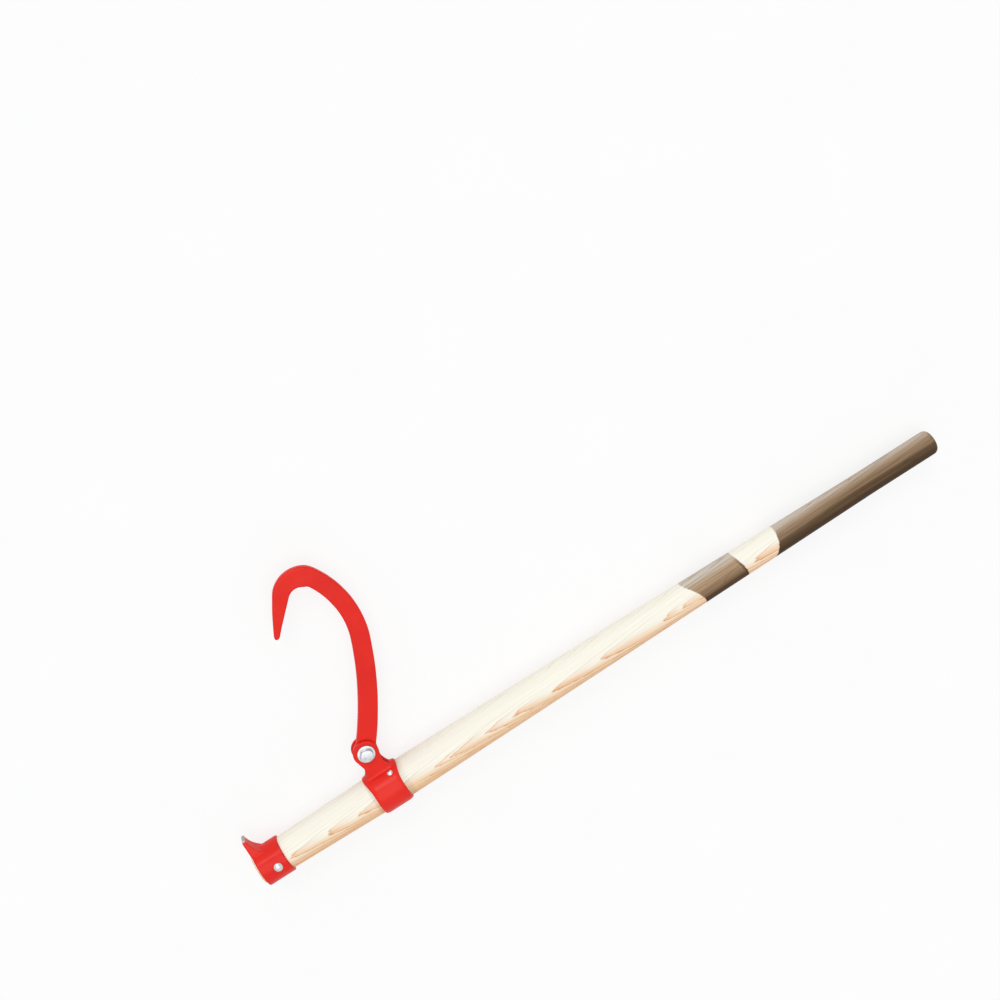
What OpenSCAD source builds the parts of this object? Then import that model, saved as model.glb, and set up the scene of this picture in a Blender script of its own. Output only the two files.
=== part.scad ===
// Cant hook: a long turned handle, a steel clasp with two ears, a forged hook that swings on
// a bolt between the ears, and a toe ring with a lip. Millimetres.
// The handle lies along X with its toe at the origin, the hook swings in the XY plane on the
// +Y side, and Z is the hook's pivot direction.

/* [Handle] */
// Length of the handle from toe to butt
handle_length = 1219; // [900:1:1550]
// Diameter of the turned seat under the clasp, the thickest place
seat_d = 59.6; // [50:0.1:70]
// Diameter of the toe, where the toe ring sits
toe_d = 50; // [42:0.1:56]
// Diameter just behind the toe ring
neck_d = 53; // [50:0.1:58]
// Diameter of the straight grip
grip_d = 40; // [32:0.1:46]
// Length of the straight grip, measured from the butt
grip_length = 125; // [90:1:300]
// How far the long taper swells past a straight line, on the radius
taper_swell = 0.2; // [0:0.1:2]
// Radius of the rounded butt edge
butt_round = 9; // [3:0.5:14]
// Chamfer of the toe edge
toe_chamfer = 2; // [0.5:0.1:4]

/* [Clasp] */
// Distance from the toe to the middle of the clasp
clasp_station = 230; // [180:1:300]
// Width of the clasp band round the back of the handle
band_width = 48.4; // [42:0.1:52]
// Width of the clasp band at its crown, under the ears
crown_width = 59.4; // [54:0.1:64]
// Height above the handle's axis where the band begins to flare to its crown
flare_start = 11; // [4:0.5:16]
// Wall of the clasp band
band_t = 4.2; // [3.5:0.1:6]
// Thickness of the ears
ear_t = 4.8; // [4:0.1:6.5]
// Height of the hook's pivot above the band
pivot_rise = 37.8; // [36.5:0.1:60]
// Radius of the rounded ear ends
ear_r = 19.8; // [19:0.1:20.5]
// Width of the ears at their waist
ear_waist = 30.8; // [29:0.1:35]
// Width of the ears at their root on the band
ear_root = 48; // [44:0.1:50]
// Height of the ears' waist above the band
waist_rise = 17.9; // [16:0.1:20]
// Radius of the sweep from the root in to the waist
waist_sweep = 33; // [26:0.5:40]
// Radius of the hollow between the band and the outer face of each ear
root_hollow = 3.5; // [2.5:0.1:5]
// Angle of each clasp screw from the hook's plane
screw_angle = 33.5; // [33:0.5:75]
// Distance of the clasp screws from the middle of the clasp, towards the grip
screw_offset = 13.7; // [0:0.1:15]
// Diameter of the clasp screws' shanks
screw_d = 5; // [4:0.1:6]
// Length of the clasp screws under the head
screw_length = 24; // [16:1:30]
// Diameter of the clasp screws' heads
screw_head_d = 9.6; // [8:0.1:11]
// Height of the clasp screws' heads
screw_head_h = 3; // [2:0.1:4]
// Width of the slot in the clasp screws' heads
screw_slot = 1.4; // [1:0.1:2]

/* [Hook] */
// Angle of the shank at the eye, measured from the handle
hook_angle = 52; // [44:0.5:75]
// Radius of the long shank curve
shank_r = 565; // [420:1:800]
// Angle that the long shank curve turns through
shank_angle = 18.3; // [14:0.1:22]
// Radius of the curve above the shank
shoulder_r = 144.5; // [125:0.5:180]
// Angle that the curve above the shank turns through
shoulder_angle = 48; // [40:0.1:54]
// Radius of the tight bend at the top
bend_r = 32; // [28:0.1:45]
// Angle that the tight bend turns through
bend_angle = 113; // [95:0.5:125]
// Radius of the nearly straight run out to the point
point_r = 800; // [500:1:1200]
// Angle that the run out to the point turns through
point_angle = 4.3; // [2:0.1:6]
// Width of the bar at the eye
shank_w = 30.4; // [24:0.1:32]
// Width of the bar where the bend begins
shoulder_w = 28; // [22:0.1:32]
// Width of the bar at its widest, in the bend
bend_w = 31.7; // [24:0.1:36]
// Width of the bar where the nose begins
point_w = 10.1; // [5:0.1:14]
// Thickness of the bar
bar_t = 12; // [9:0.1:12.6]
// Thickness of the bar at the point
point_t = 5; // [3:0.1:8]
// Radius of the bar's forged edges
bar_edge = 2.6; // [1:0.1:4]
// Radius of the eye
eye_r = 18; // [16.5:0.1:18.5]
// Thickness of the eye
eye_t = 13; // [12.6:0.1:18]
// Chamfer of the eye's edges
eye_chamfer = 1; // [0.4:0.1:2]
// Length of the rounded nose at the point
nose_length = 9; // [4:0.1:14]

/* [Pivot bolt] */
// Diameter of the pivot bolt
bolt_d = 12.7; // [10:0.1:16]
// Width across the flats of the bolt head and nut
hex_af = 19; // [17:0.1:24]
// Height of the bolt head
bolt_head_h = 8; // [6:0.1:11]
// Diameter of the washers
washer_d = 27; // [24:0.1:32]
// Thickness of the washers
washer_t = 2.4; // [1.5:0.1:3.5]
// Height of the hexagon of the lock nut
nut_h = 9; // [8:0.1:13]
// Height of the lock nut's round collar, which holds the locking ring
nut_collar_h = 3.6; // [2.5:0.1:5]
// Diameter of the lock nut's collar
nut_collar_d = 17.6; // [17:0.1:18.8]
// Wall of the locking ring
insert_wall = 1.5; // [1:0.1:1.8]
// Lip of the collar that keeps the locking ring in
nut_lip = 1; // [0.6:0.1:1.6]
// How far the bolt stands past the nut
bolt_overhang = 3; // [1.6:0.1:6]
// Chamfer on the bolt's end
bolt_chamfer = 1.5; // [0.5:0.1:2.5]
// How far the turned cone comes inside the flats of the hexagons
hex_crown = 0.3; // [0.1:0.1:1]

/* [Toe ring] */
// Distance from the toe to the ring
ring_inset = 3; // [1:0.1:8]
// Width of the toe ring along the handle
ring_width = 44; // [34:0.5:60]
// Wall of the toe ring
ring_wall = 5; // [3.5:0.1:7]
// Height of the lip above the ring
lip_rise = 28; // [18:0.5:38]
// Length of the lip's root along the handle
lip_root = 30; // [20:0.5:32]
// Width of the lip at its root
lip_w = 28; // [20:0.5:34]
// Width of the lip at its edge
lip_edge_w = 17; // [10:0.5:19]
// Thickness of the lip at its edge
lip_edge_t = 4.5; // [3:0.1:8]
// Radius of the hollow on the lip's inner face
lip_hollow = 42; // [36:0.5:60]
// How far the lip's edge is set back from the ring's end
lip_setback = 2; // [0:0.1:4]
// Height of the bevel on the lip's outer face
lip_bevel = 5; // [2:0.1:10]
// Distance from the toe to the rivet
rivet_station = 30; // [20:0.5:36]
// Diameter of the rivet through the toe
rivet_d = 8; // [6:0.1:10]
// Diameter of the rivet heads
rivet_head_d = 15; // [13:0.1:18]
// Height of the rivet heads
rivet_head_h = 4.2; // [3:0.1:6]

/* [Fits] */
// Clearance between the wood and the steel around it
wood_clear = 0.1; // [0.05:0.01:0.2]
// Clearance around screws, rivets and the bolt in the ears
hole_clear = 0.15; // [0.05:0.01:0.3]
// Room round screw and rivet heads on the flats under them
seat_margin = 0.5; // [0.2:0.1:1]
// How far those flats are sunk below the curved face
seat_sink = 0.3; // [0.2:0.1:1]
// Film of paint under the screw heads
paint_film = 0.03; // [0.02:0.01:0.1]
// Running clearance between the eye and the bolt
eye_clear = 0.35; // [0.3:0.05:0.6]
// Running clearance between the eye and each ear
side_clear = 0.4; // [0.3:0.05:0.8]

/* [Hidden] */
$fn = 96;
steel_red = "#E8342A";
zinc = "#C9CCD0";
ash_wood = "#EBD3A8";
nylon_white = "#E9E6DA";

// Steps on the faceted sweep of the hook: shank, shoulder, bend, point and edge corners
arc_steps = [8, 10, 20, 8];
corner_steps = 3;
nose_steps = 5;
// Steps on the turned handle
taper_steps = 12;
butt_steps = 6;
// How far a cutter runs past what it cuts
over = 1;
// How far a curve runs into the one it joins, so that both meet in a clean edge
lap = 0.02;
// How the bar's width and thickness run: share of the bend where it is widest, and powers of the runs
widest_share = 0.26;
narrow_power = 1.38;
thin_power = 1.5;
// Largest share of the bar's width or thickness that an edge radius may take
edge_share = 0.45;
// Turn of the last ring on the nose, and the tip of the clasp screws
nose_turn = 75;
screw_tip_d = 1;

// Radii of the handle's turned places
seat_r = seat_d / 2;
toe_r = toe_d / 2;
grip_r = grip_d / 2;
ring_end = ring_inset + ring_width;

// Clasp band, ears and pivot
band_ri = seat_r + wood_clear;
band_ro = band_ri + band_t;
band_from = clasp_station - crown_width / 2;
band_to = clasp_station + crown_width / 2;
pivot_y = band_ro + pivot_rise;
waist_y = band_ro + waist_rise;
ear_in = eye_t / 2 + side_clear;
ear_out = ear_in + ear_t;
bolt_r = bolt_d / 2;
// Distance from the handle's axis to the flats under the screw heads
screw_seat = sqrt(pow(band_ro, 2) - pow(screw_head_d / 2 + seat_margin, 2)) - seat_sink;

// Bolt stack
washer_out = ear_out + washer_t;
nut_out = washer_out + nut_h + nut_collar_h;
bolt_end = -nut_out - bolt_overhang;
nut_insert_r = bolt_r + insert_wall;
nut_pocket = nut_collar_h - nut_lip;

// Toe ring
ring_ri = toe_r + wood_clear;
ring_ro = ring_ri + ring_wall;
rivet_seat = sqrt(pow(ring_ro, 2) - pow(rivet_head_d / 2 + seat_margin, 2)) - seat_sink;

// Turns what is built along Z so that it lies along the handle
module along_handle() {
    rotate([0, 90, 0]) children();
}

// Raises a profile drawn across the handle, in Y and Z, along the handle
module across_section(from, to) {
    translate([from, 0, 0]) rotate([90, 0, 90]) linear_extrude(to - from) children();
}

// Places a child at each clasp screw, with Z pointing out of the handle
module at_screws() {
    for (side = [1, -1])
        translate([clasp_station + screw_offset, 0, 0])
            rotate([side * screw_angle, 0, 0]) rotate([-90, 0, 0]) children();
}

// Half profile of the handle: radius against distance from the toe
function taper_r(u) = seat_r + (grip_r - seat_r) * u + taper_swell * 4 * u * (1 - u);
taper_length = handle_length - grip_length - band_to;
taper_profile = [for (i = [1:taper_steps]) let (u = i / taper_steps)
    [taper_r(u), band_to + taper_length * u]];
butt_profile = [for (i = [0:butt_steps]) let (a = 90 * i / butt_steps)
    [grip_r - butt_round * (1 - cos(a)), handle_length - butt_round * (1 - sin(a))]];
handle_profile = concat(
    [[0, 0], [toe_r - toe_chamfer, 0], [toe_r, toe_chamfer], [toe_r, ring_end], [neck_d / 2, ring_end],
        [seat_r, band_from], [seat_r, band_to]],
    taper_profile, butt_profile, [[0, handle_length]]);

module handle() color(ash_wood) difference() {
    along_handle() rotate_extrude() polygon(handle_profile);
    translate([rivet_station, 0, 0]) cylinder(r = rivet_d / 2 + hole_clear, h = 2 * seat_d, center = true);
    at_screws() translate([0, 0, band_ro - screw_length - over])
        cylinder(r = screw_d / 2 + hole_clear, h = screw_length + band_t);
}

// Side view of the lip: a straight outer face, a narrow edge and a hollow inner face
module lip_side() {
    lip_top = ring_ro + lip_rise;
    root_y = toe_r + ring_wall / 2;
    edge_x = ring_inset + lip_setback;
    difference() {
        polygon([[ring_inset, root_y], [ring_inset + lip_root, root_y], [ring_inset + lip_root, ring_ro],
            [edge_x + lip_edge_t, lip_top], [edge_x, lip_top], [ring_inset, lip_top - lip_bevel]]);
        translate([edge_x + lip_edge_t + lip_hollow, lip_top]) circle(r = lip_hollow);
    }
}

// Front view of the lip: it narrows from the root to the edge
module lip_front() {
    polygon([[0, -lip_w / 2], [ring_ro, -lip_w / 2], [ring_ro + lip_rise, -lip_edge_w / 2],
        [ring_ro + lip_rise, lip_edge_w / 2], [ring_ro, lip_w / 2], [0, lip_w / 2]]);
}

module toe_ring() color(steel_red) difference() {
    union() {
        translate([ring_inset, 0, 0]) along_handle() cylinder(r = ring_ro, h = ring_width);
        intersection() {
            linear_extrude(2 * lip_w, center = true) lip_side();
            across_section(0, ring_end) lip_front();
        }
    }
    along_handle() cylinder(r = ring_ri, h = ring_end + over);
    translate([rivet_station, 0, 0]) cylinder(r = rivet_d / 2 + hole_clear, h = 3 * ring_ro, center = true);
    for (side = [1, -1])
        translate([rivet_station, 0, side * (rivet_seat + ring_wall / 2)])
            cylinder(r = rivet_head_d / 2 + seat_margin, h = ring_wall, center = true);
}

// A domed head on a shank, turned as one piece: flat seat at Z 0, dome upwards
module domed_head(d, h) {
    dome_r = (pow(d / 2, 2) + pow(h, 2)) / (2 * h);
    intersection() {
        cylinder(d = d + over, h = h + over);
        translate([0, 0, h - dome_r]) sphere(r = dome_r);
    }
}

module toe_rivet() color(zinc) translate([rivet_station, 0, 0]) {
    cylinder(r = rivet_d / 2, h = 2 * rivet_seat, center = true);
    for (turn = [0, 180])
        rotate([turn, 0, 0]) translate([0, 0, rivet_seat]) domed_head(rivet_head_d, rivet_head_h);
}

// Section of the ears across the handle: two plates rooted in the band, with a hollow outside each root
module ears_section() {
    hollow_z = ear_out + root_hollow;
    hollow_y = sqrt(pow(band_ro + root_hollow - lap, 2) - pow(hollow_z, 2));
    touch = [hollow_y, hollow_z] * (band_ro - over) / (band_ro + root_hollow);
    corner_y = sqrt(pow(band_ro, 2) - pow(ear_out, 2)) - over;
    difference() {
        union() {
            translate([0, -ear_out]) square([pivot_y + 2 * ear_r, 2 * ear_out]);
            for (side = [0, 1])
                mirror([0, side])
                    difference() {
                        polygon([[corner_y, ear_out - over], [hollow_y, ear_out - over],
                            [hollow_y, hollow_z], touch]);
                        translate([hollow_y, hollow_z]) circle(r = root_hollow);
                    }
        }
        circle(r = band_ri + band_t / 2);
        translate([0, -ear_in]) square([pivot_y + 3 * ear_r, 2 * ear_in]);
    }
}

// Side view of the ears: a root, a sweep in to the waist, and round ends about the pivot
module ear_side() {
    waist_half = ear_waist / 2;
    reach = sqrt(pow(waist_half, 2) + pow(pivot_y - waist_y, 2));
    tangent = acos((ear_r - lap) / reach) - atan2(pivot_y - waist_y, waist_half);
    side_pt = (ear_r - lap) * [cos(tangent), sin(tangent)];
    difference() {
        translate([-ear_root / 2, 0]) square([ear_root, waist_y]);
        for (side = [1, -1])
            translate([side * (waist_half + waist_sweep), waist_y]) circle(r = waist_sweep);
    }
    polygon([[-waist_half, waist_y], [waist_half, waist_y], [side_pt[0], pivot_y + side_pt[1]],
        [-side_pt[0], pivot_y + side_pt[1]]]);
    translate([0, pivot_y]) circle(r = ear_r);
}

// Side view of the band: straight round the back, flaring out to its crown
module band_side() {
    spread = (crown_width - band_width) / 2;
    rise = band_ro - flare_start;
    flare_r = (pow(spread, 2) + pow(rise, 2)) / (2 * spread);
    band_low = -band_ro - over;
    translate([-band_width / 2, band_low]) square([band_width, flare_start + 2 * over - band_low]);
    difference() {
        translate([-crown_width / 2, flare_start]) square([crown_width, rise + over]);
        for (side = [1, -1])
            translate([side * (band_width / 2 + flare_r - lap), flare_start]) circle(r = flare_r);
    }
}

module clasp() color(steel_red) difference() {
    union() {
        intersection() {
            translate([clasp_station - crown_width, 0, 0]) along_handle()
                cylinder(r = band_ro, h = 2 * crown_width);
            translate([clasp_station, 0, 0]) linear_extrude(4 * band_ro, center = true) band_side();
        }
        intersection() {
            across_section(band_from, band_to) ears_section();
            translate([clasp_station, 0, 0]) linear_extrude(4 * band_ro, center = true) ear_side();
        }
    }
    along_handle() cylinder(r = band_ri, h = handle_length);
    translate([clasp_station, pivot_y, 0])
        cylinder(r = bolt_r + hole_clear, h = 4 * ear_out, center = true);
    at_screws() translate([0, 0, band_ri - band_t]) cylinder(r = screw_d / 2 + hole_clear, h = 3 * band_t);
    at_screws() translate([0, 0, screw_seat]) cylinder(r = screw_head_d / 2 + seat_margin, h = band_t);
}

module clasp_screws() color(zinc) at_screws() translate([0, 0, screw_seat + paint_film]) {
    difference() {
        domed_head(screw_head_d, screw_head_h);
        translate([0, 0, screw_head_h]) cube([2 * screw_head_d, screw_slot, screw_head_h], center = true);
    }
    translate([0, 0, -screw_length + screw_d]) cylinder(d = screw_d, h = screw_length - screw_d);
    translate([0, 0, -screw_length]) cylinder(d1 = screw_tip_d, d2 = screw_d, h = screw_d);
}

// Spine of the hook: arcs that follow each other, each as radius, turn and steps
hook_arcs = [
    [shank_r, shank_angle, arc_steps[0]],
    [shoulder_r, shoulder_angle, arc_steps[1]],
    [bend_r, bend_angle, arc_steps[2]],
    [point_r, point_angle, arc_steps[3]]];
function arc_point(p, heading, r, turn) =
    p + r * [sin(heading + turn) - sin(heading), cos(heading) - cos(heading + turn)];
function arc_length(arc) = arc[0] * arc[1] * PI / 180;
bend_start = arc_length(hook_arcs[0]) + arc_length(hook_arcs[1]);
hook_length = bend_start + arc_length(hook_arcs[2]) + arc_length(hook_arcs[3]);

// Stations along the spine: place, heading and length so far
function spine(i, p, heading, along) = i == len(hook_arcs) ? [[p, heading, along]] :
    let (arc = hook_arcs[i], n = arc[2])
    concat(
        [for (k = [0:n - 1]) let (turn = arc[1] * k / n)
            [arc_point(p, heading, arc[0], turn), heading + turn, along + arc_length(arc) * k / n]],
        spine(i + 1, arc_point(p, heading, arc[0], arc[1]), heading + arc[1], along + arc_length(arc)));

// The bar narrows a little up to the bend, is widest in the bend, then draws out to the point
widest = bend_start + widest_share * arc_length(hook_arcs[2]);
function ease(from, to, u) = from + (to - from) * u * u * (3 - 2 * u);
function bar_w(along) = along < bend_start
    ? ease(shank_w, shoulder_w, along / bend_start)
    : along < widest
        ? ease(shoulder_w, bend_w, (along - bend_start) / (widest - bend_start))
        : bend_w + (point_w - bend_w) * pow((along - widest) / (hook_length - widest), narrow_power);
function bar_thick(along) = along < widest
    ? bar_t
    : bar_t + (point_t - bar_t) * pow((along - widest) / (hook_length - widest), thin_power);

// Rounded rectangle, counter-clockwise: width across the spine, thickness along Z
function bar_section(w, t) = let (r = min(bar_edge, edge_share * w, edge_share * t))
    [for (q = [0:3]) for (k = [0:corner_steps]) let (a = 90 * (q + k / corner_steps))
        [(q == 0 || q == 3 ? 1 : -1) * (w / 2 - r) + r * cos(a),
            (q < 2 ? 1 : -1) * (t / 2 - r) + r * sin(a)]];

// One ring of points at a station
function bar_ring(p, heading, section) =
    [for (c = section) [p[0] + sin(heading) * c[0], p[1] - cos(heading) * c[0], c[1]]];

module hook_bar() {
    stations = spine(0, [clasp_station, pivot_y], hook_angle, 0);
    last = stations[len(stations) - 1];
    bar_rings = [for (st = stations) bar_ring(st[0], st[1], bar_section(bar_w(st[2]), bar_thick(st[2])))];
    nose_rings = [for (k = [1:nose_steps]) let (a = nose_turn * k / nose_steps)
        bar_ring(last[0] + nose_length * sin(a) * [cos(last[1]), sin(last[1])], last[1],
            bar_section(point_w * cos(a), point_t * cos(a)))];
    rings = concat(bar_rings, nose_rings);
    m = len(rings[0]);
    n = len(rings) - 1;
    start_cap = [for (j = [m - 1:-1:0]) j];
    end_cap = [for (j = [0:m - 1]) n * m + j];
    sides = [for (i = [0:n - 1]) for (j = [0:m - 1]) let (k = (j + 1) % m)
        each [[i * m + j, i * m + k, (i + 1) * m + k], [i * m + j, (i + 1) * m + k, (i + 1) * m + j]]];
    polyhedron(points = [for (ring = rings) each ring], faces = concat([start_cap], sides, [end_cap]));
}

module hook() color(steel_red) difference() {
    union() {
        hook_bar();
        translate([clasp_station, pivot_y, 0]) rotate_extrude() polygon([[0, -eye_t / 2],
            [eye_r - eye_chamfer, -eye_t / 2], [eye_r, -eye_t / 2 + eye_chamfer],
            [eye_r, eye_t / 2 - eye_chamfer], [eye_r - eye_chamfer, eye_t / 2], [0, eye_t / 2]]);
    }
    translate([clasp_station, pivot_y, 0]) cylinder(r = bolt_r + eye_clear, h = 2 * eye_t, center = true);
}

// A hexagon with its two ends turned to a cone
module hexagon(h) {
    corner_d = hex_af / cos(30);
    intersection() {
        cylinder(d = corner_d, h = h, $fn = 6);
        translate([0, 0, -over]) cylinder(d1 = corner_d + h, d2 = hex_af - 2 * hex_crown, h = h + over);
    }
}

module pivot_bolt() color(zinc) translate([clasp_station, pivot_y, 0]) {
    translate([0, 0, washer_out]) hexagon(bolt_head_h);
    translate([0, 0, bolt_end + bolt_chamfer])
        cylinder(r = bolt_r, h = washer_out - bolt_end - bolt_chamfer);
    translate([0, 0, bolt_end]) cylinder(r1 = bolt_r - bolt_chamfer, r2 = bolt_r, h = bolt_chamfer);
}

module pivot_washers() color(zinc) translate([clasp_station, pivot_y, 0])
    for (z = [ear_out, -washer_out])
        translate([0, 0, z]) difference() {
            cylinder(d = washer_d, h = washer_t);
            translate([0, 0, -over]) cylinder(r = bolt_r + hole_clear, h = washer_t + 2 * over);
        }

// Places a child under the pivot, below the hook, with Z pointing away from it
module below_pivot(depth) {
    translate([clasp_station, pivot_y, -depth]) rotate([180, 0, 0]) children();
}

module pivot_nut() color(zinc) below_pivot(washer_out) difference() {
    union() {
        hexagon(nut_h);
        cylinder(d = nut_collar_d, h = nut_h + nut_collar_h);
    }
    translate([0, 0, -over]) cylinder(r = bolt_r + hole_clear, h = nut_h + nut_collar_h + 2 * over);
    translate([0, 0, nut_h]) cylinder(r = nut_insert_r + hole_clear, h = nut_pocket);
}

module nut_insert() color(nylon_white) below_pivot(washer_out + nut_h) difference() {
    cylinder(r = nut_insert_r, h = nut_pocket - hole_clear);
    translate([0, 0, -over]) cylinder(r = bolt_r + hole_clear / 2, h = nut_collar_h + 2 * over);
}

handle();
toe_ring();
toe_rivet();
clasp();
clasp_screws();
hook();
pivot_bolt();
pivot_washers();
pivot_nut();
nut_insert();
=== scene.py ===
"""Cant hook: finer meshes, materials, floor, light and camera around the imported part."""

import math

import bmesh
import bpy
import numpy as np
from mathutils import Matrix, Vector, noise


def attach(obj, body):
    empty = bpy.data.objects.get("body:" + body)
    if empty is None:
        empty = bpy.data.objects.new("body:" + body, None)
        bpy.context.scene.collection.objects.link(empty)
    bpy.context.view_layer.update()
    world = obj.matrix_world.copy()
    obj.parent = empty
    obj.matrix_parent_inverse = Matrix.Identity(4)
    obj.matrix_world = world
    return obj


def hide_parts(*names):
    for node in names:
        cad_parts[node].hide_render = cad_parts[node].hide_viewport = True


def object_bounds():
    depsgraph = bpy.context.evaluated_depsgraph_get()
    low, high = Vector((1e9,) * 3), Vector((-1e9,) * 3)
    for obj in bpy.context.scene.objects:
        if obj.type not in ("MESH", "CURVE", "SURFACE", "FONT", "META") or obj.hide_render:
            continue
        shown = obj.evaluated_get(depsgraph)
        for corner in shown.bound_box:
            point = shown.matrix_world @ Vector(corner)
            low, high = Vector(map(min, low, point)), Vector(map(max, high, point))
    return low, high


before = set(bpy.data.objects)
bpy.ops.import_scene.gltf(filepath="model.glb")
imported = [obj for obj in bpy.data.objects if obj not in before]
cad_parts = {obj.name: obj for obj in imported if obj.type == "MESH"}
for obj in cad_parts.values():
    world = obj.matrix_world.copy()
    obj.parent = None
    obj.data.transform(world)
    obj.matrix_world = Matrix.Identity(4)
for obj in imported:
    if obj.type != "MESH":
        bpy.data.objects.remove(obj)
cad_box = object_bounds()

MM = 0.001
# Sizes of the part that the finer meshes follow, in metres and degrees
HANDLE_LENGTH = 1219 * MM
SEAT_R = 29.8 * MM
TOE_R = 25 * MM
NECK_R = 26.5 * MM
GRIP_R = 20 * MM
GRIP_FROM = 1094 * MM
TAPER_SWELL = 0.2 * MM
BUTT_ROUND = 9 * MM
TOE_CHAMFER = 2 * MM
RING_END = 47 * MM
BAND_FROM = 200.3 * MM
BAND_TO = 259.7 * MM
BAND_RO = 34.1 * MM
# Half widths of the clasp band round the back and at its crown, where the flare begins, and its rims' roll
BAND_HALF, CROWN_HALF = 24.2 * MM, 29.7 * MM
FLARE_START = 11 * MM
RIM_LENGTH, RIM_DROP = 9 * MM, 2.7 * MM
SCREW_X = 243.7 * MM
SCREW_ANGLE = 33.5
SCREW_HOLE_R = 2.65 * MM
SCREW_LENGTH = 24 * MM
RIVET_X = 30 * MM
RIVET_HOLE_R = 4.15 * MM
PIVOT = Vector((230 * MM, 71.9 * MM, 0))
HOOK_LEAN = 52
# Radius and turn of each arc of the hook's spine, from the eye to the point
HOOK_ARCS = ((565 * MM, 18.3), (144.5 * MM, 48), (32 * MM, 113), (800 * MM, 4.3))
SHANK_W, SHOULDER_W, BEND_W, POINT_W = 30.4 * MM, 28 * MM, 31.7 * MM, 10.1 * MM
BAR_T, POINT_T = 12 * MM, 5 * MM
BAR_EDGE = 2.6 * MM
WIDEST_SHARE = 0.26
NARROW_POWER, THIN_POWER = 1.38, 1.5
NOSE_LENGTH, NOSE_TURN = 9 * MM, 75
EYE_R, EYE_T, EYE_CHAMFER = 18 * MM, 13 * MM, 1 * MM
BORE_R = 6.7 * MM
BOLT_R = 6.35 * MM
BOLT_END = -29.7 * MM
BOLT_CHAMFER = 1.5 * MM
THREAD_TOP = -13 * MM
THREAD_PITCH = 1.954 * MM
THREAD_DEPTH = 1.1 * MM
LIP_EDGE = (Vector((7 * MM, 57.6 * MM, -9 * MM)), Vector((7 * MM, 57.6 * MM, 9 * MM)))
# How near points of the CAD shapes are joined, and the turn in degrees below which neighbouring faces count as flat
WELD_REACH, FLAT_TURN = 0.002 * MM, 0.8
# Length of the steps along the hook's spine
SPINE_STEP = 1.5 * MM
# Voxels of the skins that round the steel's edges, and how often each skin is smoothed
FINE_SKIN, FINE_ROUNDS = 0.4 * MM, 20
STEEL_SKIN, STEEL_ROUNDS = 0.75 * MM, 5
HOOK_SKIN, HOOK_ROUNDS = 0.85 * MM, 5
# Forge ripples: waves in a metre, depth and seed
HOOK_RIPPLES = ((45, 0.30 * MM, 3.1), (130, 0.12 * MM, 8.7))
STEEL_RIPPLE = (60, 0.14 * MM, 5.3)
# How far bare steel reaches from the hook's tip and from the lip's edge
TIP_WEAR, LIP_WEAR = 7 * MM, 9 * MM
# Stations of the grain's arrowheads along the handle, the level of their middle line, and how fast their arms bow
GRAIN_HEADS = (-0.60, -0.50, -0.43, -0.35, -0.28, -0.20, -0.14, -0.07, -0.01, 0.065, 0.13, 0.19, 0.249, 0.325, 0.353,
               0.419, 0.460, 0.533, 0.611, 0.729, 0.764, 0.835, 0.895, 1.002, 1.077, 1.167, 1.28)
GRAIN_LEVEL = 5 * MM
GRAIN_BOW = 667
# The pith that the rings of the sawn ends run round, how many rings a metre has, and how deep the sawn look goes
PITH = (0, -55 * MM, 20 * MM)
RINGS_IN_METRE = 320
SAWN_DEPTH = 2 * MM
# Edges of the painted shadow bands: station, lean and bow round the handle, and how soft they are
FIRST_FROM, FIRST_TO, SECOND_FROM = (0.7835, 0.46, 13.5), (0.864, 0.20, 7.0), (0.9256, -0.45, 7.0)
SHADOW_SOFT = 1.2 * MM
# The photograph's view: place, direction, upward direction, and lens and sensor in millimetres
CAMERA_PLACE = (0.4544, 1.1402, 2.2378)
CAMERA_FORWARD = (0.0593, -0.3523, -0.9340)
CAMERA_UP = (0.5312, 0.8033, -0.2693)
CAMERA_LENS, CAMERA_SENSOR = 59.04, 36
# How far the floor reaches, how much of it is plain white to the camera, and the strength of the soft fill
FLOOR_REACH, FLOOR_WHITE, FILL_STRENGTH = 8.0, 0.8, 0.60


def srgb(code):
    """Linear colour of a hexadecimal screen colour."""
    parts = [int(code[i:i + 2], 16) / 255 for i in (0, 2, 4)]
    return tuple(p / 12.92 if p < 0.04045 else ((p + 0.055) / 1.055) ** 2.4 for p in parts) + (1.0,)


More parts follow.
